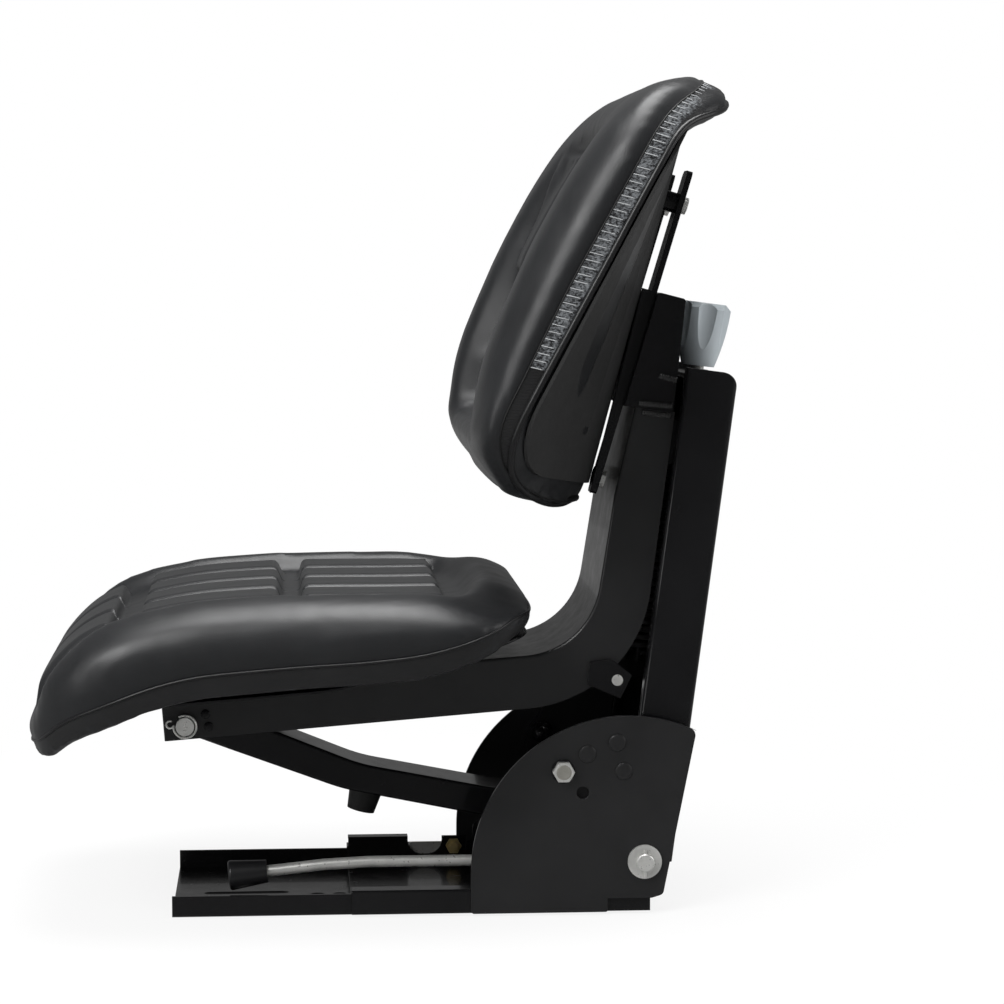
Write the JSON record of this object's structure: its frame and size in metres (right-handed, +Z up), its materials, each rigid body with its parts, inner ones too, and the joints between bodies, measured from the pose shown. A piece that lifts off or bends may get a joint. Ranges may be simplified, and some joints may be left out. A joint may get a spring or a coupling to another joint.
{
  "type": "tractor suspension seat",
  "caption": "Sprung tractor seat with ribbed black upholstery on a curved steel frame, a leaning spring column, a swing arm and a sliding rail base.",
  "frame": {"origin": "centre of the base bolt holes, on the underside of the lower rail", "axes": "+Z up, +Y to the rear, +X to the driver's left; the driver faces -Y"},
  "size_m": [0.47, 0.625, 0.7238],
  "materials": {
    "gloss_black_steel": "gloss black enamel on pressed steel",
    "satin_black_steel": "satin black enamel on flat plate",
    "zinc_steel": "bright zinc plating",
    "yellow_zinc": "yellow passivated zinc plating",
    "spring_steel": "black coated spring wire",
    "nylon": "moulded black nylon",
    "grip_plastic": "moulded black plastic grip",
    "knob_plastic": "moulded blue-grey plastic",
    "bump_rubber": "moulded black rubber",
    "panel_plastic": "matt dark grey backing sheet",
    "seat_vinyl": "fine-grained black vinyl over foam"
  },
  "bodies": {
    "base": {"lower_rail": "gloss_black_steel"},
    "carriage": {"slide_carriage": "gloss_black_steel", "slide_shoes": "nylon", "latch_bracket": "gloss_black_steel", "latch_plate": "zinc_steel", "latch_bolt": "yellow_zinc", "lever_ears": "gloss_black_steel", "fan_plate_left": "satin_black_steel", "fan_plate_right": "satin_black_steel", "tilt_pin": "zinc_steel", "tilt_washers": "zinc_steel", "split_pins": "zinc_steel", "tilt_bolts": "zinc_steel", "tilt_bolt_washers": "zinc_steel"},
    "lever": {"latch_lever": "zinc_steel", "lever_grip": "grip_plastic"},
    "column": {"column_channel": "gloss_black_steel", "column_cap": "gloss_black_steel", "column_gusset_left": "satin_black_steel", "column_gusset_right": "satin_black_steel", "tilt_nuts": "zinc_steel", "arm_pivot_pin": "zinc_steel", "arm_pivot_spacers": "gloss_black_steel", "spring_yoke": "gloss_black_steel"},
    "adjuster": {"adjuster_spindle": "zinc_steel", "adjuster_knob": "knob_plastic"},
    "seat_carrier": {"seat_frame": "gloss_black_steel", "front_pin": "zinc_steel", "front_pin_clips": "zinc_steel", "roller_lugs": "gloss_black_steel", "roller_axles": "zinc_steel", "spring_tabs": "gloss_black_steel", "anchor_bar": "zinc_steel", "spring_hook": "gloss_black_steel", "spring": "spring_steel", "backrest_straps": "gloss_black_steel", "strap_bolts": "zinc_steel", "backrest_post": "gloss_black_steel", "backrest_panel": "panel_plastic", "backrest_cushion": "seat_vinyl", "seat_pan": "gloss_black_steel", "seat_bolts": "zinc_steel", "pan_brace": "gloss_black_steel", "seat_cushion": "seat_vinyl"},
    "arm": {"swing_arm": "gloss_black_steel", "arm_hubs": "gloss_black_steel", "bump_stop": "bump_rubber"},
    "left_roller": {"roller_left": "nylon"},
    "right_roller": {"roller_right": "nylon"}
  },
  "joints": [
    {"name": "fore_aft_slide", "type": "slide", "parent": "base", "child": "carriage", "axis": [0, -1, 0], "range_m": [0, 0.15]},
    {"name": "lever_lift", "type": "hinge", "parent": "carriage", "child": "lever", "pos_m": [0, 0.075, 0.0418], "axis": [-1, 0, 0], "range_deg": [0, 8], "stiffness_Nm_per_rad": 1.5, "springref_deg": -11.46},
    {"name": "column_tilt", "type": "hinge", "parent": "carriage", "child": "column", "pos_m": [0, 0.2044, 0.0467], "axis": [-1, 0, 0], "range_deg": [0, 20]},
    {"name": "suspension", "type": "slide", "parent": "column", "child": "seat_carrier", "axis": [0, -0.1305, -0.9914], "range_m": [0, 0.06], "stiffness_N_per_m": 8000, "springref_m": -0.04, "deforming": ["spring"]},
    {"name": "arm_swing", "type": "hinge", "parent": "column", "child": "arm", "pos_m": [0, 0.15067, 0.09059], "axis": [1, 0, 0], "range_deg": [0, 9.7]},
    {"name": "left_roller_spin", "type": "hinge", "parent": "seat_carrier", "child": "left_roller", "pos_m": [0.092, 0.25571, 0.41112], "axis": [1, 0, 0], "range_deg": [-180, 0]},
    {"name": "right_roller_spin", "type": "hinge", "parent": "seat_carrier", "child": "right_roller", "pos_m": [-0.092, 0.25571, 0.41112], "axis": [1, 0, 0], "range_deg": [-180, 0]},
    {"name": "adjuster_turn", "type": "hinge", "parent": "column", "child": "adjuster", "pos_m": [0, 0.2651, 0.48251], "axis": [0, 0.1305, 0.9914], "continuous": true}
  ],
  "couplings": [
    {"joint": "arm_swing", "follows": "suspension", "rad_per_m": 2.8063},
    {"joint": "left_roller_spin", "follows": "suspension", "rad_per_m": -50.761},
    {"joint": "right_roller_spin", "follows": "suspension", "rad_per_m": -50.761}
  ]
}
